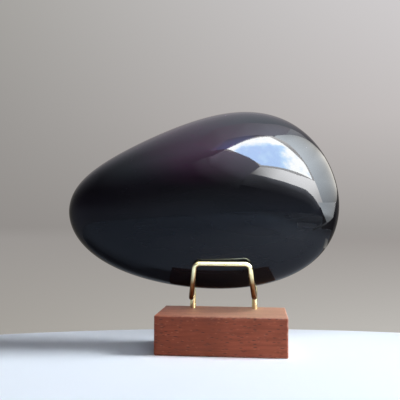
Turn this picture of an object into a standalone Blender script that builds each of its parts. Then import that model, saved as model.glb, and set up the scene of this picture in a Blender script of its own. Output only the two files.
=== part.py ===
"""Polished obsidian egg resting on a wooden block with two bent brass wires.

Metres, +Z up. The origin is the middle of the block's underside, +X runs to
the stone's bulky end and -Y is the front.
"""
import bpy
import bmesh
from math import radians, tan
from mathutils import Quaternion, Vector

# Stone: an ellipsoid whose height and centre line change along its length.
# The four numbers of each row go with 1, u, u^2 and u^3, where u is the place
# along the length, from -1 at the pointed left end to 1 at the bulky right end.
STONE_CENTRE = Vector((-0.0116, 0.0065, 0.0735))
STONE_HALF_LENGTH = 0.0700
STONE_HALF_DEPTH = 0.0188
STONE_HALF_HEIGHT = (0.0438, 0.0115, 0.0023, -0.0033)
STONE_RISE = (0.0, 0.0078, -0.0027, -0.0061)
STONE_SUBDIVISIONS = 5

# Block: three quarter inch stock, with its edges eased and a hole for each wire end.
BLOCK_LENGTH = 0.0635
BLOCK_DEPTH = 0.0381
BLOCK_HEIGHT = 0.01905
BLOCK_EASING = 0.0007
HOLE_DEPTH = 0.0125

# Wires: one round brass wire bent to an arch before the stone, one behind it.
WIRE_DIAMETER = 0.0025
CLEARANCE = 0.0003
FOOT_Z = BLOCK_HEIGHT - HOLE_DEPTH + CLEARANCE
BEND_SEGMENTS = 8
CORNER_BEND = 0.0027
KNEE_BEND = 0.0040

# Front wire: up out of the block, forward under the stone, then up before it.
FRONT_FOOT_X = 0.0160
FRONT_FOOT_Y = 0.0120
FRONT_ELBOW_Z = {"left": 0.0297, "right": 0.0312}
FRONT_HEEL_X = 0.0157
FRONT_HEEL_Y = -0.0030
FRONT_HEEL_Z = {"left": 0.0251, "right": 0.0254}
FRONT_BAR_X = 0.0134
FRONT_BAR_Y = -0.0087
FRONT_BAR_Z = 0.0431

# Rear wire: up out of the block, then leaning back to a bar behind the stone.
REAR_FOOT_X = {"left": 0.0170, "right": 0.0155}
REAR_FOOT_Y = 0.0160
REAR_KNEE_Z = 0.0265
REAR_BAR_X = {"left": 0.0145, "right": 0.0130}
REAR_BAR_Y = 0.02485
REAR_BAR_Z = 0.0520


def linear_colour(red, green, blue):
    """Turns a display colour, 0 to 255, into the linear colour a shader takes."""
    channels = []
    for value in (red, green, blue):
        share = value / 255
        channels.append(share / 12.92 if share <= 0.04045 else ((share + 0.055) / 1.055) ** 2.4)
    return (*channels, 1.0)


def make_material(name, colour, roughness, metallic, refraction=1.5):
    material = bpy.data.materials.new(name)
    material.use_nodes = True
    shader = material.node_tree.nodes["Principled BSDF"]
    shader.inputs["Base Color"].default_value = colour
    shader.inputs["Roughness"].default_value = roughness
    shader.inputs["Metallic"].default_value = metallic
    shader.inputs["IOR"].default_value = refraction
    material.diffuse_color = colour
    return material


def add_object(name, data, material):
    piece = bpy.data.objects.new(name, data)
    bpy.context.scene.collection.objects.link(piece)
    if material is not None:
        data.materials.append(material)
    return piece


def along(terms, u):
    """Value at u of the row of numbers that go with 1, u, u^2 and u^3."""
    return sum(term * u ** power for power, term in enumerate(terms))


def make_stone(material):
    shape = bmesh.new()
    bmesh.ops.create_icosphere(shape, subdivisions=STONE_SUBDIVISIONS, radius=1.0)
    for vertex in shape.verts:
        u, v, w = vertex.co.normalized()
        x = STONE_HALF_LENGTH * u
        y = STONE_HALF_DEPTH * v
        z = along(STONE_RISE, u) + along(STONE_HALF_HEIGHT, u) * w
        vertex.co = Vector((x, y, z))
    bmesh.ops.recalc_face_normals(shape, faces=shape.faces)
    mesh = bpy.data.meshes.new("obsidian")
    shape.to_mesh(mesh)
    shape.free()
    mesh.shade_smooth()
    stone = add_object("obsidian", mesh, material)
    stone.location = STONE_CENTRE
    return stone


def make_hole_cutter(holes):
    """One closed cylinder for each blind hole, reaching above the block's top."""
    reach = 0.002
    depth = HOLE_DEPTH + reach
    shape = bmesh.new()
    for x, y in holes:
        made = bmesh.ops.create_cone(
            shape,
            cap_ends=True,
            segments=24,
            radius1=WIRE_DIAMETER / 2 + CLEARANCE,
            radius2=WIRE_DIAMETER / 2 + CLEARANCE,
            depth=depth,
        )
        middle_z = BLOCK_HEIGHT + reach - depth / 2
        bmesh.ops.translate(shape, verts=made["verts"], vec=Vector((x, y, middle_z)))
    mesh = bpy.data.meshes.new("hole_cutter")
    shape.to_mesh(mesh)
    shape.free()
    cutter = add_object("hole_cutter", mesh, None)
    cutter.hide_render = True
    cutter.display_type = "WIRE"
    return cutter


def make_block(material, holes):
    shape = bmesh.new()
    bmesh.ops.create_cube(shape, size=1.0)
    bmesh.ops.scale(shape, verts=shape.verts, vec=Vector((BLOCK_LENGTH, BLOCK_DEPTH, BLOCK_HEIGHT)))
    bmesh.ops.translate(shape, verts=shape.verts, vec=Vector((0, 0, BLOCK_HEIGHT / 2)))
    mesh = bpy.data.meshes.new("wood_block")
    shape.to_mesh(mesh)
    shape.free()
    block = add_object("wood_block", mesh, material)
    easing = block.modifiers.new("eased edges", "BEVEL")
    easing.width = BLOCK_EASING
    easing.segments = 2
    drilling = block.modifiers.new("wire holes", "BOOLEAN")
    drilling.operation = "DIFFERENCE"
    drilling.object = make_hole_cutter(holes)
    mesh.shade_smooth()
    mesh.set_sharp_from_angle(angle=radians(30))
    return block


def bent_route(corners, bends):
    """Points along a wire through the corners, each inner corner rounded to its bend radius."""
    route = [corners[0]]
    inner = zip(corners, corners[1:], corners[2:], bends)
    for before, corner, after, bend in inner:
        arriving = (corner - before).normalized()
        leaving = (after - corner).normalized()
        turn = arriving.angle(leaving)
        start = corner - arriving * bend * tan(turn / 2)
        axis = arriving.cross(leaving).normalized()
        centre = start + axis.cross(arriving) * bend
        for step in range(BEND_SEGMENTS + 1):
            spoke = Quaternion(axis, turn * step / BEND_SEGMENTS) @ (start - centre)
            route.append(centre + spoke)
    route.append(corners[-1])
    return route


def make_wire(name, corners, bends, material):
    curve = bpy.data.curves.new(name, "CURVE")
    curve.dimensions = "3D"
    curve.bevel_depth = WIRE_DIAMETER / 2
    curve.bevel_resolution = 4
    curve.use_fill_caps = True
    route = bent_route(corners, bends)
    spline = curve.splines.new("POLY")
    spline.points.add(len(route) - 1)
    for point, place in zip(spline.points, route):
        point.co = (*place, 1.0)
    return add_object(name, curve, material)


def front_corners():
    """Corners from the left foot to the right foot; the stone lies on the two slopes under it."""
    sides = []
    for side, way in (("left", -1), ("right", 1)):
        foot = Vector((way * FRONT_FOOT_X, FRONT_FOOT_Y, FOOT_Z))
        elbow = Vector((way * FRONT_FOOT_X, FRONT_FOOT_Y, FRONT_ELBOW_Z[side]))
        heel = Vector((way * FRONT_HEEL_X, FRONT_HEEL_Y, FRONT_HEEL_Z[side]))
        shoulder = Vector((way * FRONT_BAR_X, FRONT_BAR_Y, FRONT_BAR_Z))
        sides.append([foot, elbow, heel, shoulder])
    return sides[0] + sides[1][::-1]


def rear_corners():
    """Corners from the left foot to the right foot of the arch that the stone leans back on."""
    sides = []
    for side, way in (("left", -1), ("right", 1)):
        foot = Vector((way * REAR_FOOT_X[side], REAR_FOOT_Y, FOOT_Z))
        knee = Vector((way * REAR_FOOT_X[side], REAR_FOOT_Y, REAR_KNEE_Z))
        shoulder = Vector((way * REAR_BAR_X[side], REAR_BAR_Y, REAR_BAR_Z))
        sides.append([foot, knee, shoulder])
    return sides[0] + sides[1][::-1]


def main():
    for old in list(bpy.data.objects):
        bpy.data.objects.remove(old, do_unlink=True)
    obsidian = make_material("polished obsidian", linear_colour(22, 20, 23), 0.04, 0.0)
    wood = make_material("reddish hardwood", linear_colour(128, 70, 56), 0.45, 0.0)
    brass = make_material("brass", linear_colour(214, 190, 112), 0.18, 1.0)
    holes = []
    for side, way in (("left", -1), ("right", 1)):
        holes.append((way * FRONT_FOOT_X, FRONT_FOOT_Y))
        holes.append((way * REAR_FOOT_X[side], REAR_FOOT_Y))
    make_stone(obsidian)
    make_block(wood, holes)
    front_bends = [CORNER_BEND] * 6
    rear_bends = [KNEE_BEND, CORNER_BEND, CORNER_BEND, KNEE_BEND]
    make_wire("front_wire", front_corners(), front_bends, brass)
    make_wire("rear_wire", rear_corners(), rear_bends, brass)


main()
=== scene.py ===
"""Studio picture of a polished obsidian egg on a wooden block with two bent brass wires.

Metres, +Z up. The origin is the middle of the block's underside, +X runs to
the stone's bulky end and -Y is the front.
"""

from math import cos, pi, radians, sin, tan

import bpy
from mathutils import Matrix, Vector, noise


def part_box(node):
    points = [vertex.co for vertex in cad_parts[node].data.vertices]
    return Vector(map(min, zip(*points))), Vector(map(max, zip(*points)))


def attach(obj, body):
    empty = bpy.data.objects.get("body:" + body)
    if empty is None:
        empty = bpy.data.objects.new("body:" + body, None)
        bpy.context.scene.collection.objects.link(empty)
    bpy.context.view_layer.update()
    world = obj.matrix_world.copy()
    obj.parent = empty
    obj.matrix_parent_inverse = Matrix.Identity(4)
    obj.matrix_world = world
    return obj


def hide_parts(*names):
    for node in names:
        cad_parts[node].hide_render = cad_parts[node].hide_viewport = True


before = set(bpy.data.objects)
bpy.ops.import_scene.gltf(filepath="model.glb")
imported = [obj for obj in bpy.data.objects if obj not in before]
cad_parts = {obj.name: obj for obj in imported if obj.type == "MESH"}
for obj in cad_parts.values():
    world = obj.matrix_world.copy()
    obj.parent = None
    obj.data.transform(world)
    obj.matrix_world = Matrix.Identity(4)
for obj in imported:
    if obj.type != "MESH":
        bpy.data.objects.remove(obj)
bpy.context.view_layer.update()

MM = 0.001

# Stone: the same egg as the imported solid, with far more faces. The four numbers of
# each row go with 1, u, u^2 and u^3, where u runs from -1 to 1 along the length.
STONE_CENTRE = Vector((-11.6, 6.5, 73.5)) * MM
STONE_HALF_LENGTH = 70.0 * MM
STONE_HALF_DEPTH = 18.8 * MM
STONE_HALF_HEIGHT = (43.8 * MM, 11.5 * MM, 2.3 * MM, -3.3 * MM)
STONE_RISE = (0.0, 7.8 * MM, -2.7 * MM, -6.1 * MM)
STONE_SUBDIVISIONS = 7
STONE_WAVE_HEIGHT = 0.012 * MM
STONE_WAVE_LENGTH = 22.0 * MM

# Wires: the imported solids' routes, with finer bends and a rounder section.
WIRE_RADIUS = 1.25 * MM
WIRE_SIDES = 32
BEND_STEPS = 16
CORNER_BEND = 2.7 * MM
KNEE_BEND = 4.0 * MM
FOOT_Z = 6.85 * MM
FRONT_FOOT = Vector((16.0, 12.0, 0.0)) * MM
FRONT_ELBOW_Z = {"left": 29.7 * MM, "right": 31.2 * MM}
FRONT_HEEL = Vector((15.7, -3.0, 0.0)) * MM
FRONT_HEEL_Z = {"left": 25.1 * MM, "right": 25.4 * MM}
FRONT_SHOULDER = Vector((13.4, -8.7, 43.1)) * MM
REAR_FOOT = {"left": Vector((17.0, 16.0, 0.0)) * MM, "right": Vector((15.5, 16.0, 0.0)) * MM}
REAR_KNEE_Z = 26.5 * MM
REAR_SHOULDER = {"left": Vector((14.5, 24.85, 52.0)) * MM, "right": Vector((13.0, 24.85, 52.0)) * MM}

# Block: eased edges, drilled holes and an even grid of small faces for the worn edges.
BLOCK_EASING = 0.7 * MM
BLOCK_CELL = 1.0 * MM
BLOCK_WEAR_REACH = 1.3 * MM
BLOCK_WEAR_DEPTH = 0.35 * MM
HOLE_RADIUS = 1.55 * MM
HOLE_FLOOR_Z = 6.55 * MM

# Camera: where it stands, and how it is turned, in degrees.
CAMERA_PLACE = Vector((18.0, -315.6, 61.2)) * MM
CAMERA_YAW = 5.4
CAMERA_PITCH = 2.45
CAMERA_ROLL = 0.35
CAMERA_LENS = 56.35

# Round pale table that the block stands on.
TABLE_CENTRE = Vector((45.0, -322.0, 0.0)) * MM
TABLE_RADIUS = 392.0 * MM
TABLE_THICKNESS = 20.0 * MM


def linear(code):
    """Turns an sRGB hex colour into the linear colour that a shader takes."""
    channels = []
    for start in (1, 3, 5):
        share = int(code[start:start + 2], 16) / 255
        channels.append(share / 12.92 if share <= 0.04045 else ((share + 0.055) / 1.055) ** 2.4)
    return (*channels, 1.0)


def add(tree, kind, inputs=None, stops=None, **settings):
    """Adds a node with its settings, its ramp's stops, and a value or a link for each input named."""
    node = tree.nodes.new(kind)
    for name, value in settings.items():
        setattr(node, name, value)
    if stops:
        ramp = node.color_ramp
        for place, code in stops[2:]:
            ramp.elements.new(place)
        for element, (place, code) in zip(ramp.elements, sorted(stops)):
            element.position = place
            element.color = linear(code)
    for name, value in (inputs or {}).items():
        if isinstance(value, bpy.types.NodeSocket):
            tree.links.new(value, node.inputs[name])
        else:
            node.inputs[name].default_value = value
    return node


def new_material(name):
    """An empty material with its tree, its shader and the piece's own coordinates."""
    material = bpy.data.materials.new(name)
    material.use_nodes = True
    tree = material.node_tree
    coords = add(tree, "ShaderNodeTexCoord").outputs["Object"]
    return material, tree, tree.nodes["Principled BSDF"], coords


def volcanic_glass_polished_by_hand():
    """Obsidian, a volcanic glass, ground and polished by hand.

    The eye gets a nearly black body under a mirror gloss, broken only by faint
    flow bands, one soft patch of painted purple sheen, thin smudges and a few fine marks.
    """
    material, tree, shader, coords = new_material("volcanic_glass_polished_by_hand")
    shader.inputs["IOR"].default_value = 1.5
    shader.inputs["Specular IOR Level"].default_value = 0.20
    # Its reflections are tinted pale blue, a painted tint for the bluish light of the table that it mirrors.
    shader.inputs["Specular Tint"].default_value = linear("#D9E9FF")

    # Flow bands 7 mm apart and five times as long, tilted along the stone's upper edge.
    flow_place = add(tree, "ShaderNodeMapping", {
        "Vector": coords, "Rotation": (0.0, radians(14), 0.0),
        "Scale": (1 / (35 * MM), 1 / (12 * MM), 1 / (7 * MM)),
    })
    flow = add(tree, "ShaderNodeTexNoise", {
        "Vector": flow_place.outputs["Vector"], "Scale": 1.0, "Detail": 2.0, "Distortion": 0.4,
    })
    body = add(tree, "ShaderNodeValToRGB", {"Fac": flow.outputs["Fac"]},
               [(0.30, "#0B0A0D"), (0.75, "#121014")])

    # Painted purple sheen: a soft purple patch in the base colour, 90 mm by 46 mm on the upper
    # front face, torn by the flow.
    sheen_place = add(tree, "ShaderNodeMapping", {
        "Vector": coords, "Location": (13 / 45, 0.1, -101 / 23),
        "Scale": (1 / (45 * MM), 1 / (40 * MM), 1 / (23 * MM)),
    })
    sheen = add(tree, "ShaderNodeTexGradient", {"Vector": sheen_place.outputs["Vector"]},
                gradient_type="SPHERICAL")
    torn = add(tree, "ShaderNodeMapRange", {
        "Value": flow.outputs["Fac"], "From Min": 0.3, "From Max": 0.7, "To Min": 0.7,
    })
    sheen_share = add(tree, "ShaderNodeMath", {0: sheen.outputs["Fac"], 1: torn.outputs["Result"]},
                      operation="MULTIPLY")
    sheen_soft = add(tree, "ShaderNodeMapRange", {
        "Value": sheen_share.outputs["Value"], "From Max": 0.85,
    }, interpolation_type="SMOOTHSTEP")
    tinted = add(tree, "ShaderNodeMix", {
        0: sheen_soft.outputs["Result"], 6: body.outputs["Color"], 7: linear("#3C0C2E"),
    }, data_type="RGBA")

    # Fine marks left by use: short strokes about 2 mm long and 0.3 mm wide, one in five cells.
    mark_place = add(tree, "ShaderNodeMapping", {
        "Vector": coords, "Rotation": (0.0, radians(4), 0.0),
        "Scale": (1 / (30 * MM), 1 / (9 * MM), 1 / (5 * MM)),
    })
    marks = add(tree, "ShaderNodeTexVoronoi", {"Vector": mark_place.outputs["Vector"], "Scale": 1.0})
    stroke = add(tree, "ShaderNodeMapRange", {
        "Value": marks.outputs["Distance"], "From Min": 0.05, "From Max": 0.02,
    })
    chosen = add(tree, "ShaderNodeMath", {0: marks.outputs["Color"], 1: 0.80}, operation="GREATER_THAN")
    scuff = add(tree, "ShaderNodeMath", {0: stroke.outputs["Result"], 1: chosen.outputs["Value"]},
                operation="MULTIPLY")
    marked = add(tree, "ShaderNodeMix", {
        0: scuff.outputs["Value"], 6: tinted.outputs[2], 7: linear("#46424A"),
    }, data_type="RGBA")
    tree.links.new(marked.outputs[2], shader.inputs["Base Color"])

    # Smudges from handling, about 18 mm across, dull the gloss a little.
    smudge = add(tree, "ShaderNodeTexNoise", {"Vector": coords, "Scale": 1 / (18 * MM), "Detail": 3.0})
    gloss = add(tree, "ShaderNodeMapRange", {
        "Value": smudge.outputs["Fac"], "From Min": 0.40, "From Max": 0.70, "To Min": 0.02, "To Max": 0.042,
    })
    dulled = add(tree, "ShaderNodeMath", {0: scuff.outputs["Value"], 1: 0.35, 2: gloss.outputs["Result"]},
                 operation="MULTIPLY_ADD")
    tree.links.new(dulled.outputs["Value"], shader.inputs["Roughness"])
    dent = add(tree, "ShaderNodeBump",
               {"Height": scuff.outputs["Value"], "Strength": 0.3, "Distance": 0.02 * MM}, invert=True)
    tree.links.new(dent.outputs["Normal"], shader.inputs["Normal"])
    return material


def reddish_hardwood_sanded_and_oiled():
    """Reddish hardwood, such as mahogany or padauk, sawn, sanded and lightly oiled.

    The eye gets straight grain along the block, open pores as short dark dashes,
    light flecks between them, a soft sheen at low angles, a top face painted paler as a
    painted sheen, and paler, rubbed edges with a painted highlight towards the right.
    """
    material, tree, shader, coords = new_material("reddish_hardwood_sanded_and_oiled")
    shader.inputs["IOR"].default_value = 1.5
    shader.inputs["Specular IOR Level"].default_value = 0.10

    # Growth rings 2.6 mm apart about a heart 60 mm below the block, so the ends show arcs.
    ring_place = add(tree, "ShaderNodeMapping", {"Vector": coords, "Location": (0.0, -14 * MM, 60 * MM)})
    wander = add(tree, "ShaderNodeTexNoise", {"Vector": coords, "Scale": 1 / (30 * MM), "Detail": 2.0})
    bent = add(tree, "ShaderNodeVectorMath", {
        0: wander.outputs["Color"], 1: (0.0, 4 * MM, 6 * MM), 2: ring_place.outputs["Vector"],
    }, operation="MULTIPLY_ADD")
    rings = add(tree, "ShaderNodeTexWave", {
        "Vector": bent.outputs["Vector"], "Scale": 2 * pi / (20 * 2.6 * MM), "Distortion": 1.2, "Detail": 2.0,
        "Detail Scale": 1.5,
    }, wave_type="RINGS", rings_direction="X")

    # Fibres: streaks 0.6 mm thick and 14 mm long, coarser than real ones so that they show.
    fibre_place = add(tree, "ShaderNodeMapping", {
        "Vector": coords, "Scale": (1 / (14 * MM), 1 / (0.6 * MM), 1 / (0.6 * MM)),
    })
    fibres = add(tree, "ShaderNodeTexNoise",
                 {"Vector": fibre_place.outputs["Vector"], "Scale": 1.0, "Detail": 3.0})

    # Broad patches 16 mm across where the wood takes the oil darker or lighter. Apart from
    # these, the tone runs darker to the left and towards the top.
    patch = add(tree, "ShaderNodeTexNoise", {"Vector": coords, "Scale": 1 / (16 * MM), "Detail": 2.0})

    ring_share = add(tree, "ShaderNodeMath", {0: rings.outputs["Fac"], 1: 0.10}, operation="MULTIPLY")
    fibre_share = add(tree, "ShaderNodeMath",
                      {0: fibres.outputs["Fac"], 1: 0.48, 2: ring_share.outputs["Value"]},
                      operation="MULTIPLY_ADD")
    tone = add(tree, "ShaderNodeMath", {0: patch.outputs["Fac"], 1: 0.54, 2: fibre_share.outputs["Value"]},
               operation="MULTIPLY_ADD")
    lean = add(tree, "ShaderNodeVectorMath", {0: coords, 1: (3.0, 0.0, -7.0)}, operation="DOT_PRODUCT")
    leaned = add(tree, "ShaderNodeMath", {0: tone.outputs["Value"], 1: lean.outputs["Value"]},
                 operation="ADD")
    wood = add(tree, "ShaderNodeValToRGB", {"Fac": leaned.outputs["Value"]},
               [(0.20, "#5A2316"), (0.76, "#934A34"), (0.48, "#76351F")])

    # Open pores: dark dashes about 2 mm long and 0.4 mm wide.
    pore_place = add(tree, "ShaderNodeMapping", {
        "Vector": coords, "Scale": (1 / (3.4 * MM), 1 / (0.75 * MM), 1 / (0.75 * MM)),
    })
    pores = add(tree, "ShaderNodeTexVoronoi", {"Vector": pore_place.outputs["Vector"], "Scale": 1.0})
    pore = add(tree, "ShaderNodeMapRange", {
        "Value": pores.outputs["Distance"], "From Min": 0.34, "From Max": 0.18,
    })
    pore_chosen = add(tree, "ShaderNodeMath", {0: pores.outputs["Color"], 1: 0.55}, operation="GREATER_THAN")
    pore_share = add(tree, "ShaderNodeMath", {0: pore.outputs["Result"], 1: pore_chosen.outputs["Value"]},
                     operation="MULTIPLY")
    pored = add(tree, "ShaderNodeMix", {
        0: pore_share.outputs["Value"], 6: wood.outputs["Color"], 7: linear("#431B12"),
    }, data_type="RGBA")

    # Light flecks where the rays are cut across: dashes about 1.3 mm long.
    fleck_place = add(tree, "ShaderNodeMapping", {
        "Vector": coords, "Location": (0.3, 0.7, 0.2),
        "Scale": (1 / (2.4 * MM), 1 / (0.9 * MM), 1 / (0.9 * MM)),
    })
    flecks = add(tree, "ShaderNodeTexVoronoi", {"Vector": fleck_place.outputs["Vector"], "Scale": 1.0})
    fleck = add(tree, "ShaderNodeMapRange", {
        "Value": flecks.outputs["Distance"], "From Min": 0.36, "From Max": 0.16, "To Max": 0.45,
    })
    fleck_chosen = add(tree, "ShaderNodeMath", {0: flecks.outputs["Color"], 1: 0.60},
                       operation="GREATER_THAN")
    fleck_share = add(tree, "ShaderNodeMath", {0: fleck.outputs["Result"], 1: fleck_chosen.outputs["Value"]},
                      operation="MULTIPLY")
    flecked = add(tree, "ShaderNodeMix", {
        0: fleck_share.outputs["Value"], 6: pored.outputs[2], 7: linear("#A4634A"),
    }, data_type="RGBA")

    # Rubbed edges are paler, in spots about 2 mm long. Towards the right the paleness grows as a
    # painted highlight, where the light falls on them.
    edge = add(tree, "ShaderNodeAttribute", attribute_name="edge_wear")
    rub_noise = add(tree, "ShaderNodeTexNoise", {"Vector": coords, "Scale": 1 / (2.2 * MM), "Detail": 3.0})
    rub = add(tree, "ShaderNodeMath", {0: edge.outputs["Fac"], 1: rub_noise.outputs["Fac"]},
              operation="MULTIPLY")
    axes = add(tree, "ShaderNodeSeparateXYZ", {"Vector": coords}).outputs
    rightward_highlight = add(tree, "ShaderNodeMapRange", {
        "Value": axes["X"], "From Min": -30 * MM, "From Max": 30 * MM, "To Min": 0.15, "To Max": 0.9,
    })
    rubbed = add(tree, "ShaderNodeMapRange", {
        "Value": rub.outputs["Value"], "From Min": 0.22, "From Max": 0.52,
        "To Max": rightward_highlight.outputs["Result"],
    })

    # The top face is painted paler, a painted sheen of the light that it mirrors at low angles,
    # least so at its left end. It is also duller.
    rightward = add(tree, "ShaderNodeMapRange", {
        "Value": axes["X"], "From Min": -30 * MM, "From Max": 15 * MM, "To Min": 0.15, "To Max": 0.5,
    })
    top = add(tree, "ShaderNodeMapRange", {
        "Value": axes["Z"], "From Min": 18.2 * MM, "From Max": 18.9 * MM,
        "To Max": rightward.outputs["Result"],
    })
    painted_top_sheen = add(tree, "ShaderNodeMix", {
        0: top.outputs["Result"], 6: flecked.outputs[2], 7: linear("#8F8273"),
    }, data_type="RGBA")
    # This mix lays on the rubbed edges' paler colour together with their painted highlight.
    worn = add(tree, "ShaderNodeMix", {
        0: rubbed.outputs["Result"], 6: painted_top_sheen.outputs[2], 7: linear("#B88A7B"),
    }, data_type="RGBA")
    tree.links.new(worn.outputs[2], shader.inputs["Base Color"])

    sheen = add(tree, "ShaderNodeMapRange", {
        "Value": tone.outputs["Value"], "From Min": 0.3, "From Max": 0.8, "To Min": 0.55, "To Max": 0.42,
    })
    dulled = add(tree, "ShaderNodeMath", {0: top.outputs["Result"], 1: 0.35, 2: sheen.outputs["Result"]},
                 operation="MULTIPLY_ADD")
    tree.links.new(dulled.outputs["Value"], shader.inputs["Roughness"])
    fibre_bump = add(tree, "ShaderNodeBump", {
        "Height": fibres.outputs["Fac"], "Strength": 0.35, "Distance": 0.08 * MM,
    })
    pore_bump = add(tree, "ShaderNodeBump", {
        "Height": pore_share.outputs["Value"], "Strength": 0.5, "Distance": 0.12 * MM,
        "Normal": fibre_bump.outputs["Normal"],
    }, invert=True)
    tree.links.new(pore_bump.outputs["Normal"], shader.inputs["Normal"])
    return material


def drawn_brass_wire():
    """Brass wire pulled bright through a die and bent by hand, without lacquer.

    The eye gets a pale yellow metal with soft long reflections, hair-fine lines
    along the wire, a few duller spots of tarnish, and legs painted brown as a painted
    reflection of the block.
    """
    material, tree, shader, coords = new_material("drawn_brass_wire")
    shader.inputs["Metallic"].default_value = 1.0

    # Lines from the die follow the wire: 0.3 mm apart and 25 mm long, coarser than real ones.
    place = add(tree, "ShaderNodeAttribute", attribute_name="wire_place")
    line_place = add(tree, "ShaderNodeMapping", {
        "Vector": place.outputs["Vector"], "Scale": (1 / (25 * MM), 1 / (0.3 * MM), 1 / (0.3 * MM)),
    })
    lines = add(tree, "ShaderNodeTexNoise",
                {"Vector": line_place.outputs["Vector"], "Scale": 1.0, "Detail": 2.0})

    # Tarnish in spots about 3 mm across.
    tarnish = add(tree, "ShaderNodeTexNoise", {"Vector": coords, "Scale": 1 / (3 * MM), "Detail": 4.0})
    tarnished = add(tree, "ShaderNodeMapRange", {
        "Value": tarnish.outputs["Fac"], "From Min": 0.50, "From Max": 0.72, "To Max": 0.7,
    })
    metal = add(tree, "ShaderNodeValToRGB", {"Fac": lines.outputs["Fac"]},
                [(0.30, "#E6E3B4"), (0.70, "#F4F3CC")])
    colour = add(tree, "ShaderNodeMix", {
        0: tarnished.outputs["Result"], 6: metal.outputs["Color"], 7: linear("#CBBE82"),
    }, data_type="RGBA")

    # The lowest parts of the front wire's legs are painted brown: a painted reflection of the
    # wooden block in shade.
    axes = add(tree, "ShaderNodeSeparateXYZ", {"Vector": coords}).outputs
    low = add(tree, "ShaderNodeMapRange",
              {"Value": axes["Z"], "From Min": 39 * MM, "From Max": 33 * MM, "To Max": 0.95})
    before = add(tree, "ShaderNodeMapRange", {"Value": axes["Y"], "From Min": 5 * MM, "From Max": 1 * MM})
    painted_block_reflection = add(tree, "ShaderNodeMath", {0: low.outputs["Result"], 1: before.outputs["Result"]},
                  operation="MULTIPLY")
    legs = add(tree, "ShaderNodeMix", {
        0: painted_block_reflection.outputs["Value"], 6: colour.outputs[2], 7: linear("#663816"),
    }, data_type="RGBA")
    tree.links.new(legs.outputs[2], shader.inputs["Base Color"])
    gloss = add(tree, "ShaderNodeMapRange", {
        "Value": tarnished.outputs["Result"], "To Min": 0.14, "To Max": 0.30, "From Max": 0.7,
    })
    tree.links.new(gloss.outputs["Result"], shader.inputs["Roughness"])
    bump = add(tree, "ShaderNodeBump",
               {"Height": lines.outputs["Fac"], "Strength": 0.25, "Distance": 0.02 * MM})
    tree.links.new(bump.outputs["Normal"], shader.inputs["Normal"])
    return material


def pale_laminate():
    """Pale, faintly blue laminate table top, pressed smooth and almost without sheen."""
    material, tree, shader, coords = new_material("pale_laminate")
    grain = add(tree, "ShaderNodeTexNoise", {"Vector": coords, "Scale": 1 / (60 * MM), "Detail": 3.0})
    colour = add(tree, "ShaderNodeValToRGB", {"Fac": grain.outputs["Fac"]},
                 [(0.3, "#D8E5F5"), (0.7, "#DAE7F7")])
    # The far parts are shaded a little, outwards from the place in front of the block, and so are both sides.
    radius = 550 * MM
    reach_place = add(tree, "ShaderNodeMapping", {
        "Vector": coords, "Location": (80 * MM / radius, 220 * MM / radius, 0.0),
        "Scale": (1 / radius, 1 / radius, 1 / radius),
    })
    reach = add(tree, "ShaderNodeTexGradient", {"Vector": reach_place.outputs["Vector"]},
                gradient_type="SPHERICAL")
    near = add(tree, "ShaderNodeMapRange",
               {"Value": reach.outputs["Fac"], "From Min": 0.25, "From Max": 0.50},
               interpolation_type="SMOOTHSTEP")
    shaded = add(tree, "ShaderNodeMix", {
        0: near.outputs["Result"], 6: linear("#C4CEDA"), 7: colour.outputs["Color"],
    }, data_type="RGBA")
    away = add(tree, "ShaderNodeVectorMath", {0: coords, 1: (-0.5, 1.0, 0.0)}, operation="DOT_PRODUCT")
    far_left = add(tree, "ShaderNodeMapRange", {
        "Value": away.outputs["Value"], "From Min": 5 * MM, "From Max": 75 * MM, "To Max": 0.8,
    }, interpolation_type="SMOOTHSTEP")
    dimmed = add(tree, "ShaderNodeMix", {
        0: far_left.outputs["Result"], 6: shaded.outputs[2], 7: linear("#A3ABB6"),
    }, data_type="RGBA")
    across = add(tree, "ShaderNodeSeparateXYZ", {"Vector": coords}).outputs["X"]
    far_right = add(tree, "ShaderNodeMapRange", {
        "Value": across, "From Min": 140 * MM, "From Max": 220 * MM, "To Max": 0.85,
    }, interpolation_type="SMOOTHSTEP")
    darkened = add(tree, "ShaderNodeMix", {
        0: far_right.outputs["Result"], 6: dimmed.outputs[2], 7: linear("#7E848B"),
    }, data_type="RGBA")
    tree.links.new(darkened.outputs[2], shader.inputs["Base Color"])
    shader.inputs["Roughness"].default_value = 0.6
    shader.inputs["Specular IOR Level"].default_value = 0.02
    return material


def start_fresh():
    """Object mode with nothing selected, so that the next operator acts on its own piece alone."""
    if bpy.context.mode != "OBJECT":
        bpy.ops.object.mode_set(mode="OBJECT")
    bpy.ops.object.select_all(action="DESELECT")


def take_up(piece):
    """Selects one piece alone and makes it the active one."""
    start_fresh()
    piece.select_set(True)
    bpy.context.view_layer.objects.active = piece


def along(terms, u):
    """Value at u of the row of numbers that go with 1, u, u^2 and u^3."""
    return sum(term * u ** power for power, term in enumerate(terms))


def make_stone(material):
    """The egg. No operator gives its curve, so a fine ball's points are moved by its formula."""
    start_fresh()
    bpy.ops.mesh.primitive_ico_sphere_add(subdivisions=STONE_SUBDIVISIONS, radius=1.0)
    stone = bpy.context.object
    stone.name = "polished_obsidian"
    for vertex in stone.data.vertices:
        u, v, w = vertex.co.normalized()
        x = STONE_HALF_LENGTH * u
        y = STONE_HALF_DEPTH * v
        z = along(STONE_RISE, u) + along(STONE_HALF_HEIGHT, u) * w
        place = STONE_CENTRE + Vector((x, y, z))
        # Polishing by hand leaves the face a hundredth of a millimetre uneven.
        wave = noise.noise(place / STONE_WAVE_LENGTH) * STONE_WAVE_HEIGHT
        vertex.co = place + Vector((u, v, w)).normalized() * wave
    bpy.ops.object.shade_smooth()
    stone.data.materials.append(material)
    return stone


def apply_modifiers(piece):
    take_up(piece)
    for modifier in list(piece.modifiers):
        bpy.ops.object.modifier_apply(modifier=modifier.name)


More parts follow.
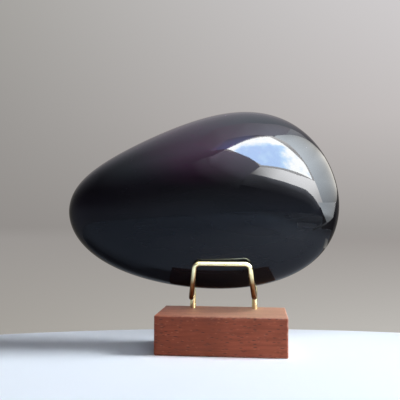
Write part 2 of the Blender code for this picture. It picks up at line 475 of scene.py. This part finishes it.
def drill(block, x, y):
    """Drills one blind hole down from the block's top."""
    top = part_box("wood_block")[1].z + 2 * MM
    start_fresh()
    bpy.ops.mesh.primitive_cylinder_add(vertices=48, radius=HOLE_RADIUS, depth=top - HOLE_FLOOR_Z,
                                        location=(x, y, (top + HOLE_FLOOR_Z) / 2))
    bit = bpy.context.object
    hole = block.modifiers.new("hole", "BOOLEAN")
    hole.operation = "DIFFERENCE"
    hole.object = bit
    apply_modifiers(block)
    bpy.data.objects.remove(bit, do_unlink=True)


def edge_nearness(place, low, high):
    """1 on the block's sharpest line, falling to 0 at the wear's reach from it."""
    gaps = sorted(min(place[axis] - low[axis], high[axis] - place[axis]) for axis in range(3))
    return max(0.0, 1.0 - max(gaps[1], 0.0) / BLOCK_WEAR_REACH)


def make_block(material):
    low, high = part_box("wood_block")
    start_fresh()
    bpy.ops.mesh.primitive_cube_add(size=1, location=(low + high) / 2, scale=high - low)
    block = bpy.context.object
    block.name = "hardwood_block"
    bpy.ops.object.transform_apply(location=True, rotation=True, scale=True)
    bpy.ops.object.mode_set(mode="EDIT")
    bpy.ops.mesh.select_all(action="SELECT")
    bpy.ops.mesh.bevel(offset=BLOCK_EASING, segments=4, affect="EDGES")
    for axis in range(3):
        direction = Vector([float(axis == other) for other in range(3)])
        inner = high[axis] - low[axis] - 2 * BLOCK_EASING
        cuts = round(inner / BLOCK_CELL)
        for cut in range(1, cuts):
            place = direction * (low[axis] + BLOCK_EASING + inner * cut / cuts)
            bpy.ops.mesh.select_all(action="SELECT")
            bpy.ops.mesh.bisect(plane_co=place, plane_no=direction)
    bpy.ops.object.mode_set(mode="OBJECT")
    for side, way in (("left", -1), ("right", 1)):
        drill(block, way * FRONT_FOOT.x, FRONT_FOOT.y)
        drill(block, way * REAR_FOOT[side].x, REAR_FOOT[side].y)

    # Edges wear unevenly: the points near them move in by up to a quarter of a millimetre,
    # and some a little out.
    nearness = [edge_nearness(vertex.co, low, high) for vertex in block.data.vertices]
    band = block.vertex_groups.new(name="edges")
    for number, near in enumerate(nearness):
        band.add([number], near, "REPLACE")
    wear = block.data.attributes.new("edge_wear", "FLOAT", "POINT")
    wear.data.foreach_set("value", nearness)
    ragged = bpy.data.textures.new("ragged", "CLOUDS")
    ragged.noise_scale = 2.5 * MM
    knocks = block.modifiers.new("worn edges", "DISPLACE")
    knocks.texture = ragged
    knocks.texture_coords = "LOCAL"
    knocks.vertex_group = "edges"
    knocks.strength = BLOCK_WEAR_DEPTH
    knocks.mid_level = 0.75
    apply_modifiers(block)
    bpy.ops.object.shade_smooth_by_angle(angle=radians(40))
    flatter = block.modifiers.new("flat faces stay flat", "WEIGHTED_NORMAL")
    flatter.keep_sharp = True
    apply_modifiers(block)
    block.data.materials.append(material)
    return block


def bend_wire(name, corners, bends, material):
    """A wire drawn as by hand: its round end is pulled along each straight and spun round each bend."""
    start_fresh()
    bpy.ops.mesh.primitive_circle_add(vertices=WIRE_SIDES, radius=WIRE_RADIUS, fill_type="NGON",
                                      location=corners[0])
    wire = bpy.context.object
    wire.name = name
    bpy.ops.object.transform_apply(location=True, rotation=False, scale=False)
    bpy.ops.object.mode_set(mode="EDIT")
    bpy.ops.mesh.select_all(action="SELECT")
    reached = corners[0]
    lengths = [0.0]
    for before, corner, after, bend in zip(corners, corners[1:], corners[2:], bends):
        arriving = (corner - before).normalized()
        leaving = (after - corner).normalized()
        turn = arriving.angle(leaving)
        start = corner - arriving * bend * tan(turn / 2)
        axis = arriving.cross(leaving).normalized()
        centre = start + axis.cross(arriving) * bend
        bpy.ops.mesh.extrude_region_move(TRANSFORM_OT_translate={"value": start - reached})
        lengths.append(lengths[-1] + (start - reached).length)
        # The spin operator counts a turn the other way round its axis.
        bpy.ops.mesh.spin(steps=BEND_STEPS, angle=-turn, center=centre, axis=axis)
        lengths += [lengths[-1] + bend * turn * step / BEND_STEPS for step in range(1, BEND_STEPS + 1)]
        reached = corner + leaving * bend * tan(turn / 2)
    bpy.ops.mesh.extrude_region_move(TRANSFORM_OT_translate={"value": corners[-1] - reached})
    lengths.append(lengths[-1] + (corners[-1] - reached).length)
    bpy.ops.mesh.select_all(action="SELECT")
    bpy.ops.mesh.normals_make_consistent(inside=False)
    bpy.ops.object.mode_set(mode="OBJECT")

    # Each ring of points is made in turn, so a point's number gives its place along and round the wire.
    place = wire.data.attributes.new("wire_place", "FLOAT_VECTOR", "POINT")
    for vertex in wire.data.vertices:
        ring, side = divmod(vertex.index, WIRE_SIDES)
        angle = 2 * pi * side / WIRE_SIDES
        place.data[vertex.index].vector = (lengths[ring], WIRE_RADIUS * cos(angle), WIRE_RADIUS * sin(angle))
    bpy.ops.object.shade_smooth_by_angle(angle=radians(50))
    wire.data.materials.append(material)
    return wire


def mirrored(sides):
    """A wire's corners from its left foot to its right foot, each side given as if on the right."""
    left = [Vector((-place.x, place.y, place.z)) for place in sides["left"]]
    return left + sides["right"][::-1]


def front_corners():
    sides = {}
    for side in ("left", "right"):
        foot = FRONT_FOOT + Vector((0, 0, FOOT_Z))
        elbow = FRONT_FOOT + Vector((0, 0, FRONT_ELBOW_Z[side]))
        heel = FRONT_HEEL + Vector((0, 0, FRONT_HEEL_Z[side]))
        sides[side] = [foot, elbow, heel, FRONT_SHOULDER.copy()]
    return mirrored(sides)


def rear_corners():
    sides = {}
    for side in ("left", "right"):
        foot = REAR_FOOT[side] + Vector((0, 0, FOOT_Z))
        knee = REAR_FOOT[side] + Vector((0, 0, REAR_KNEE_Z))
        sides[side] = [foot, knee, REAR_SHOULDER[side].copy()]
    return mirrored(sides)


def make_object():
    brass = drawn_brass_wire()
    stone = make_stone(volcanic_glass_polished_by_hand())
    block = make_block(reddish_hardwood_sanded_and_oiled())
    front_bends = [CORNER_BEND] * 6
    rear_bends = [KNEE_BEND, CORNER_BEND, CORNER_BEND, KNEE_BEND]
    front_wire = bend_wire("front_arch_wire", front_corners(), front_bends, brass)
    rear_wire = bend_wire("rear_arch_wire", rear_corners(), rear_bends, brass)
    stands_for = [
        (stone, "obsidian", "obsidian"), (block, "wood_block", "wood"),
        (front_wire, "front_wire", "brass"), (rear_wire, "rear_wire", "brass"),
    ]
    for piece, node, slot in stands_for:
        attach(piece, "root")
        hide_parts(node)


def make_table():
    """Round pale table top with a rounded rim."""
    start_fresh()
    centre = TABLE_CENTRE - Vector((0, 0, TABLE_THICKNESS / 2))
    bpy.ops.mesh.primitive_cylinder_add(vertices=256, radius=TABLE_RADIUS, depth=TABLE_THICKNESS,
                                        location=centre)
    table = bpy.context.object
    table.name = "table"
    bpy.ops.object.transform_apply(location=True, rotation=False, scale=False)
    rim = table.modifiers.new("rounded rim", "BEVEL")
    rim.width = 3 * MM
    rim.segments = 4
    apply_modifiers(table)
    bpy.ops.object.shade_smooth_by_angle(angle=radians(30))
    table.data.materials.append(pale_laminate())


def bearing(azimuth, elevation):
    """Direction from the stone: azimuth in degrees from the front towards +X, and elevation."""
    turn, rise = radians(azimuth), radians(elevation)
    return Vector((sin(turn) * cos(rise), -cos(turn) * cos(rise), sin(rise)))


def glowing(name, colour, clear=False):
    """A plain light surface with its strength painted on its corners.

    A clear one adds its light to what lies behind it, so that its faint rims don't show.
    """
    material = bpy.data.materials.new(name)
    material.use_nodes = True
    tree = material.node_tree
    tree.nodes.clear()
    strength = add(tree, "ShaderNodeAttribute", attribute_name="glow")
    light = add(tree, "ShaderNodeEmission", {"Color": linear(colour), "Strength": strength.outputs["Fac"]})
    surface = light.outputs["Emission"]
    if clear:
        through = add(tree, "ShaderNodeBsdfTransparent")
        surface = add(tree, "ShaderNodeAddShader", {0: surface, 1: through.outputs["BSDF"]}).outputs["Shader"]
    add(tree, "ShaderNodeOutputMaterial", {"Surface": surface})
    return material


def pane_axes():
    """The light pane's facing, its right and its up."""
    facing = bearing(PANE_AZIMUTH, PANE_ELEVATION)
    right = Vector((cos(radians(PANE_AZIMUTH)), sin(radians(PANE_AZIMUTH)), 0.0))
    return facing, right, facing.cross(right)


def tint_pane(material):
    """Tints the pane blue in its middle and white towards its left, right and top, in soft drifts."""
    tree = material.node_tree
    light = tree.nodes["Emission"]
    coords = add(tree, "ShaderNodeTexCoord").outputs["Object"]
    facing, right, up = pane_axes()
    whiter = 0.0
    # Each stretch runs from blue to white along an axis, in metres from the pane's middle.
    stretches = ((right, -0.05, 0.18), (right, -0.29, -0.36), (up, 0.13, 0.24))
    for axis, blue_end, white_end in stretches:
        along_axis = add(tree, "ShaderNodeVectorMath", {0: coords, 1: axis}, operation="DOT_PRODUCT")
        share = add(tree, "ShaderNodeMapRange", {
            "Value": along_axis.outputs["Value"], "From Min": PANE_MIDDLE.dot(axis) + blue_end,
            "From Max": PANE_MIDDLE.dot(axis) + white_end,
        })
        whiter = add(tree, "ShaderNodeMath", {0: share.outputs["Result"], 1: whiter},
                     operation="ADD").outputs["Value"]
    drift = add(tree, "ShaderNodeTexNoise", {"Vector": coords, "Scale": 9.0, "Detail": 3.0})
    spread = add(tree, "ShaderNodeMapRange", {"Value": drift.outputs["Fac"], "To Min": -1.0, "To Max": 1.0},
                 clamp=False)
    mixed = add(tree, "ShaderNodeMath", {0: whiter, 1: spread.outputs["Result"]}, operation="ADD")
    colours = add(tree, "ShaderNodeValToRGB", {"Fac": mixed.outputs["Value"]},
                  [(0.0, "#B4C2D5"), (0.85, "#FFF1DD"), (0.40, "#C4D2DA")])
    tree.links.new(colours.outputs["Color"], light.inputs["Color"])


def make_panel(name, corners, faces, strengths, material):
    """A light panel that shows only in glossy reflections."""
    mesh = bpy.data.meshes.new(name)
    mesh.from_pydata(corners, [], faces)
    mesh.materials.append(material)
    glow = mesh.attributes.new("glow", "FLOAT", "POINT")
    glow.data.foreach_set("value", strengths)
    panel = bpy.data.objects.new(name, mesh)
    bpy.context.scene.collection.objects.link(panel)
    panel.visible_camera = False
    panel.visible_diffuse = False
    panel.visible_shadow = False


# The light panels' corners and strengths were traced by scratch scripts from places in the
# photo, through the camera and the stone's curve, and many were then moved by hand.

# Large soft light in front, to the right and above: a sloped pane in a pale frame, a metre
# away. Corners are u to the right and v up the pane's plane, in millimetres from its middle.
PANE_MIDDLE = Vector((5.0, -5.0, 80.0)) * MM
PANE_DISTANCE = 1.0
PANE_AZIMUTH = 26.0
PANE_ELEVATION = 30.0
PANE = [(-404, 190), (-230, 276), (-120, 306), (8, 318), (130, 190), (228, 66), (337, -47), (418, -244),
        (-165, -131), (-322, 78)]
PANE_GLOW = 84
FRAME_BEHIND = 10 * MM
FRAME = [(-435, 183), (-228, 308), (-113, 337), (48, 342), (187, 240), (292, 86), (370, -50), (466, -251),
         (182, -233), (21, -191), (-178, -149), (-240, -22), (-325, 73)]
FRAME_GLOW = [14, 10, 24, 40, 42, 25, 24, 28, 28, 27, 26, 21, 17]
LEFT_BOARD = [(-435, 183), (-325, 73), (-240, -22), (-178, -149), (-515, 140), (-470, 0), (-395, -110),
              (-263, -222), (-575, 150), (-555, -20), (-460, -150), (-330, -300)]
LEFT_BOARD_GLOW = [7.5, 8.2, 7.6, 6.5, 6.5, 4.2, 4.2, 4.0, 2.2, 1.8, 1.7, 1.4]
LEFT_FADE = [(-575, 150), (-555, -20), (-460, -150), (-330, -300), (-700, 130), (-660, -100), (-550, -270),
             (-375, -410)]
LEFT_FADE_GLOW = [1.7, 1.3, 1.2, 1.1, 0.0, 0.0, 0.0, 0.0]
LOWER_BOARD = [(-178, -149), (21, -191), (182, -233), (466, -251), (-263, -222), (-79, -303), (97, -360),
               (272, -402), (582, -433), (403, -480), (818, -693), (602, -634)]
LOWER_BOARD_GLOW = [28, 60, 64, 60, 5, 46, 54, 54, 36, 42, 22, 24]
LOWER_HALO = [(-263, -222), (-79, -303), (97, -360), (272, -402), (403, -480), (602, -634), (-300, -265),
              (-105, -362), (80, -425), (255, -475), (375, -545), (580, -700), (-345, -345), (-140, -450),
              (60, -510), (225, -565), (330, -620), (530, -770)]
LOWER_HALO_GLOW = [3.6, 6.5, 8.0, 7.0, 4.5, 3.0, 2.1, 1.4, 1.6, 1.6, 1.2, 0.6, 0.6, 0, 0, 0, 0, 0]
LOWER_BOARD_FACES = [(0, 1, 5, 4), (1, 2, 6, 5), (2, 3, 7, 6), (3, 8, 9, 7), (8, 10, 11, 9)]
UPPER_BEHIND = 20 * MM
UPPER_BOARD = [(-523, 219), (-398, 403), (-207, 385), (48, 342), (290, 454), (-690, 600), (-500, 1000),
               (-117, 920), (118, 844), (800, 1100)]
UPPER_BOARD_GLOW = [4.5, 6.5, 9, 12, 10, 3.4, 4.6, 6.4, 7.6, 5.6]
CORNER_FADE = [(-404, 190), (-230, 276), (-120, 306), (-560, 270), (-420, 400), (-200, 420)]
CORNER_FADE_GLOW = [7.0, 6.0, 3.0, 0.0, 0.0, 0.0]
UPPER_FADE = [(290, 454), (560, 560), (900, 560), (800, 1100), (1300, 1300), (1700, 1200)]
UPPER_FADE_GLOW = [7.0, 4.5, 1.0, 4.0, 3.0, 0.0]

# White sheet to the right, from the pane's frame round to the back: bearings in degrees.
SHEET = [(31.5, 47.9), (40.1, 42.6), (45.6, 33.3), (48.6, 25.3), (51.3, 14.5), (54.5, 5.8), (60.4, -4.0),
         (34.5, 49.4), (50.6, 51.8), (99.9, 46.4), (118, 37), (135, 24), (128, 10), (99.8, 2.1), (89.2, -4.9)]
SHEET_FACES = [(0, 7, 8, 1), (1, 8, 9, 2), (2, 9, 10, 3), (3, 10, 11, 4), (4, 11, 12, 5), (5, 12, 13, 6),
               (6, 13, 14)]
SHEET_GLOW = [34, 37, 40, 38, 30, 21, 10, 31, 23, 11, 6, 5.5, 5.5, 5, 4.5]

# The sheet's lowest part stands close by, on the table: corners in millimetres.
SHEET_FOOT = [(162, -100, 76), (173, -86, 55), (180, -74, 43), (187, -55, 29), (203, -7, 45), (205, 2, 66),
              (205, 9, 82)]
SHEET_FOOT_FACES = [(0, 1, 5, 6), (1, 2, 4, 5), (2, 3, 4)]
SHEET_FOOT_GLOW = [22, 22, 9, 6, 9, 11, 13]
SHEET_LINE = [(148, -101, 14), (149, -99, 11), (167, -84, 22), (168, -81, 19), (186, -59, 31), (187, -54, 28)]
SHEET_LINE_FACES = [(0, 2, 3, 1), (2, 4, 5, 3)]
SHEET_LINE_GLOW = [0.6, 0.6, 1.5, 1.5, 4.0, 4.0]

# Dim panel behind the sheet's foot that puts painted shade into the reflections, and a short
# glint at the stone's right edge: corners in millimetres.
SHADE_PANEL = [(198, -103, 47), (222, -50, 44), (233, -5, 44), (234, 40, 58), (203, -90, 3), (218, -50, 3),
             (224, 0, 3), (222, 55, 3)]
SHADE_PANEL_GLOW = [0.5, 0.3, 0.15, 0.15, 0.5, 0.3, 0.15, 0.15]
EDGE_GLINT = [(104, -5, 29), (105, 11, 29), (82, 52, 31), (97, 18, 18)]
EDGE_GLINT_GLOW = [3.5, 3.5, 2.5, 2.5]

# Patch of light on the table, right of the picture: its middle and the radii of its rings, in millimetres.
POOL_MIDDLE = Vector((110, -100, 1))
POOL_RADII = (100, 190)
POOL_GLOW = (0.9, 0.45, 0.0)
POOL_STEPS = 16

# How bright the room is in glossy reflections, and as light on the surfaces.
MIRRORED_ROOM_STRENGTH = 8.0
DIM_ROOM_STRENGTH = 0.07


def on_pane(u, v, behind=0.0):
    """Point of the pane's plane, u to its right and v up it in millimetres from its middle."""
    facing, right, up = pane_axes()
    return PANE_MIDDLE + facing * (PANE_DISTANCE + behind) + (right * u + up * v) * MM


def pane_places(outline, behind=0.0):
    """Points of the pane's plane for an outline of u and v."""
    return [on_pane(u, v, behind) for u, v in outline]


def in_metres(corners):
    """Places in metres for corners given in millimetres."""
    return [Vector(corner) * MM for corner in corners]


def round_patch(middle, radii, glow):
    """Corners, faces and strengths of a fan round a middle, with one ring of faces beyond it."""
    corners = [middle * MM]
    strengths = [glow[0]]
    for radius, strength in zip(radii, glow[1:]):
        for step in range(POOL_STEPS):
            turn = 2 * pi * step / POOL_STEPS
            corners.append((middle + Vector((cos(turn), sin(turn), 0)) * radius) * MM)
            strengths.append(strength)
    faces = []
    for step in range(POOL_STEPS):
        first = step + 1
        second = (step + 1) % POOL_STEPS + 1
        faces.append((0, first, second))
        faces.append((first, first + POOL_STEPS, second + POOL_STEPS, second))
    return corners, faces, strengths


def grid_faces(columns, rows):
    """Faces of corners numbered row by row."""
    faces = []
    for row in range(rows - 1):
        for column in range(columns - 1):
            corner = row * columns + column
            faces.append((corner, corner + 1, corner + columns + 1, corner + columns))
    return faces


def make_reflections():
    pane_light = glowing("cool_diffuser", "#FFF1DD")
    tint_pane(pane_light)
    board_light = glowing("pale_board", "#FFEFDD")
    shade_light = glowing("shaded_board", "#FFF2F3")
    sheet_light = glowing("white_sheet", "#FFF9ED")
    soft_light = glowing("soft_edge", "#FFF4EC", clear=True)
    blue_light = glowing("blue_edge", "#9FB4FF", clear=True)
    make_panel("front_pane", pane_places(PANE), [range(len(PANE))], [PANE_GLOW] * len(PANE), pane_light)
    make_panel("pane_frame", pane_places(FRAME, FRAME_BEHIND), [range(len(FRAME))], FRAME_GLOW, board_light)
    make_panel("left_board", pane_places(LEFT_BOARD), grid_faces(4, 3), LEFT_BOARD_GLOW, shade_light)
    make_panel("lower_board", pane_places(LOWER_BOARD), LOWER_BOARD_FACES, LOWER_BOARD_GLOW, board_light)
    upper_board = pane_places(UPPER_BOARD, UPPER_BEHIND)
    make_panel("upper_board", upper_board, grid_faces(5, 2), UPPER_BOARD_GLOW, shade_light)
    sheet = [PANE_MIDDLE + bearing(azimuth, elevation) for azimuth, elevation in SHEET]
    make_panel("right_sheet", sheet, SHEET_FACES, SHEET_GLOW, sheet_light)
    make_panel("sheet_foot", in_metres(SHEET_FOOT), SHEET_FOOT_FACES, SHEET_FOOT_GLOW, sheet_light)
    make_panel("sheet_line", in_metres(SHEET_LINE), SHEET_LINE_FACES, SHEET_LINE_GLOW, sheet_light)
    make_panel("shade_panel", in_metres(SHADE_PANEL), grid_faces(4, 2), SHADE_PANEL_GLOW, sheet_light)
    make_panel("edge_glint", in_metres(EDGE_GLINT), [range(len(EDGE_GLINT))], EDGE_GLINT_GLOW, sheet_light)
    make_panel("left_fade", pane_places(LEFT_FADE), grid_faces(4, 2), LEFT_FADE_GLOW, soft_light)
    make_panel("lower_halo", pane_places(LOWER_HALO), grid_faces(6, 3), LOWER_HALO_GLOW, soft_light)
    make_panel("corner_fade", pane_places(CORNER_FADE), grid_faces(3, 2), CORNER_FADE_GLOW, blue_light)
    upper_fade = pane_places(UPPER_FADE, UPPER_BEHIND)
    make_panel("upper_fade", upper_fade, grid_faces(3, 2), UPPER_FADE_GLOW, soft_light)
    make_panel("light_patch", *round_patch(POOL_MIDDLE, POOL_RADII, POOL_GLOW), soft_light)


def make_lamp(name, azimuth, elevation, distance, size, energy, colour):
    """A soft square lamp aimed at the object. It lights surfaces but isn't mirrored in them."""
    data = bpy.data.lights.new(name, "AREA")
    data.shape = "SQUARE"
    data.size = size
    data.energy = energy
    data.color = linear(colour)[:3]
    lamp = bpy.data.objects.new(name, data)
    bpy.context.scene.collection.objects.link(lamp)
    direction = bearing(azimuth, elevation)
    lamp.location = Vector((0.0, 0.0, 50 * MM)) + direction * distance
    lamp.rotation_euler = direction.to_track_quat("Z", "Y").to_euler()
    lamp.visible_glossy = False
    lamp.visible_camera = False


def make_lamps():
    make_lamp("front_lamp", azimuth=22, elevation=33, distance=2.2, size=1.2, energy=11.5, colour="#FFFAF4")
    make_lamp("side_lamp", azimuth=95, elevation=38, distance=2.2, size=0.60, energy=74, colour="#FFFCF8")
    make_lamp("top_lamp", azimuth=180, elevation=80, distance=1.0, size=0.8, energy=0.4, colour="#FFFFFF")


def make_surroundings():
    """Backdrop that the camera sees, dim room light, and what the glossy faces mirror."""
    world = bpy.data.worlds.new("studio")
    bpy.context.scene.world = world
    world.use_nodes = True
    tree = world.node_tree
    tree.nodes.clear()
    direction = add(tree, "ShaderNodeTexCoord").outputs["Generated"]
    axes = add(tree, "ShaderNodeSeparateXYZ", {"Vector": direction}).outputs
    rays = add(tree, "ShaderNodeLightPath").outputs

    # Backdrop: warm grey, lightest at the top right, with a level line a little below the eye.
    height = add(tree, "ShaderNodeMapRange",
                 {"Value": axes["Z"], "From Min": -0.2, "From Max": 0.4}).outputs["Result"]
    left = add(tree, "ShaderNodeValToRGB", {"Fac": height},
               [(0.07, "#A5A19B"), (1.0, "#A9A7A3"), (0.30, "#9A9693"), (0.33, "#928E8B"), (0.62, "#9C9996")])
    right = add(tree, "ShaderNodeValToRGB", {"Fac": height},
                [(0.07, "#BEBBB6"), (0.92, "#D1CECF"), (0.30, "#9E9996"), (0.33, "#9F9B98"),
                 (0.62, "#C2BDBC")])
    side = add(tree, "ShaderNodeMapRange",
               {"Value": axes["X"], "From Min": -0.39, "From Max": 0.21}).outputs["Result"]
    backdrop = add(tree, "ShaderNodeMix", {0: side, 6: left.outputs["Color"], 7: right.outputs["Color"]},
                   data_type="RGBA").outputs[2]

    # Mirrored room: bright overhead, dim ahead just above the table, dimmer at the far left
    # and right.
    rise = add(tree, "ShaderNodeMapRange",
               {"Value": axes["Z"], "From Min": -0.2, "From Max": 1.0}).outputs["Result"]
    ahead = add(tree, "ShaderNodeValToRGB", {"Fac": rise}, [
        (0.0, "#575A5E"), (1.0, "#DEDEDE"), (0.125, "#575A5E"), (0.167, "#525456"), (0.25, "#494849"),
        (0.325, "#3D3A3B"),
        (0.40, "#3A363A"), (0.458, "#494449"), (0.54, "#6D696E"), (0.64, "#979797"), (0.733, "#C0C0C0"),
        (0.85, "#CBCBCB"),
    ])
    aside = add(tree, "ShaderNodeValToRGB", {"Fac": rise}, [
        (0.0, "#48484C"), (1.0, "#9A9A9A"), (0.17, "#444247"), (0.33, "#29242A"), (0.50, "#241F23"),
        (0.67, "#3C3A3C"),
        (0.83, "#454545"),
    ])
    behind = add(tree, "ShaderNodeValToRGB", {"Fac": axes["Z"]},
                 [(0.0, "#403E3B"), (1.0, "#B4B0B6"), (0.30, "#4B4846"), (0.67, "#6E6B6D")])
    level = add(tree, "ShaderNodeMapRange", {"Value": axes["X"], "From Min": -1.0}).outputs["Result"]
    ahead_share = add(tree, "ShaderNodeValToRGB", {"Fac": level},
                      [(0.125, "#000000"), (0.975, "#000000"), (0.475, "#FFFFFF"), (0.85, "#FFFFFF")])
    front = add(tree, "ShaderNodeMix", {0: ahead_share.outputs["Color"], 6: aside.outputs["Color"],
                                        7: ahead.outputs["Color"]}, data_type="RGBA").outputs[2]
    back_share = add(tree, "ShaderNodeMapRange",
                     {"Value": axes["Y"], "From Min": -0.35, "From Max": 0.35}).outputs["Result"]
    room = add(tree, "ShaderNodeMix", {0: back_share, 6: front, 7: behind.outputs["Color"]},
               data_type="RGBA").outputs[2]

    seen = add(tree, "ShaderNodeBackground", {"Color": backdrop, "Strength": 1.0}).outputs["Background"]
    mirrored_room = add(tree, "ShaderNodeBackground",
                        {"Color": room, "Strength": MIRRORED_ROOM_STRENGTH}).outputs["Background"]
    dim = add(tree, "ShaderNodeBackground",
              {"Color": linear("#F2F4FF"), "Strength": DIM_ROOM_STRENGTH}).outputs["Background"]
    lit = add(tree, "ShaderNodeMixShader",
              {0: rays["Is Glossy Ray"], 1: dim, 2: mirrored_room}).outputs["Shader"]
    final = add(tree, "ShaderNodeMixShader", {0: rays["Is Camera Ray"], 1: lit, 2: seen}).outputs["Shader"]
    add(tree, "ShaderNodeOutputWorld", {"Surface": final})


def make_camera():
    data = bpy.data.cameras.new("camera")
    data.lens = CAMERA_LENS
    data.clip_start = 0.01
    camera = bpy.data.objects.new("camera", data)
    bpy.context.scene.collection.objects.link(camera)
    turned = Matrix.Rotation(radians(CAMERA_YAW), 4, "Z")
    tilted = Matrix.Rotation(radians(90 + CAMERA_PITCH), 4, "X")
    rolled = Matrix.Rotation(radians(CAMERA_ROLL), 4, "Z")
    camera.matrix_world = Matrix.Translation(CAMERA_PLACE) @ turned @ tilted @ rolled
    bpy.context.scene.camera = camera
    bpy.context.scene.view_settings.view_transform = "Standard"


make_object()
make_table()
make_reflections()
make_lamps()
make_surroundings()
make_camera()
start_fresh()
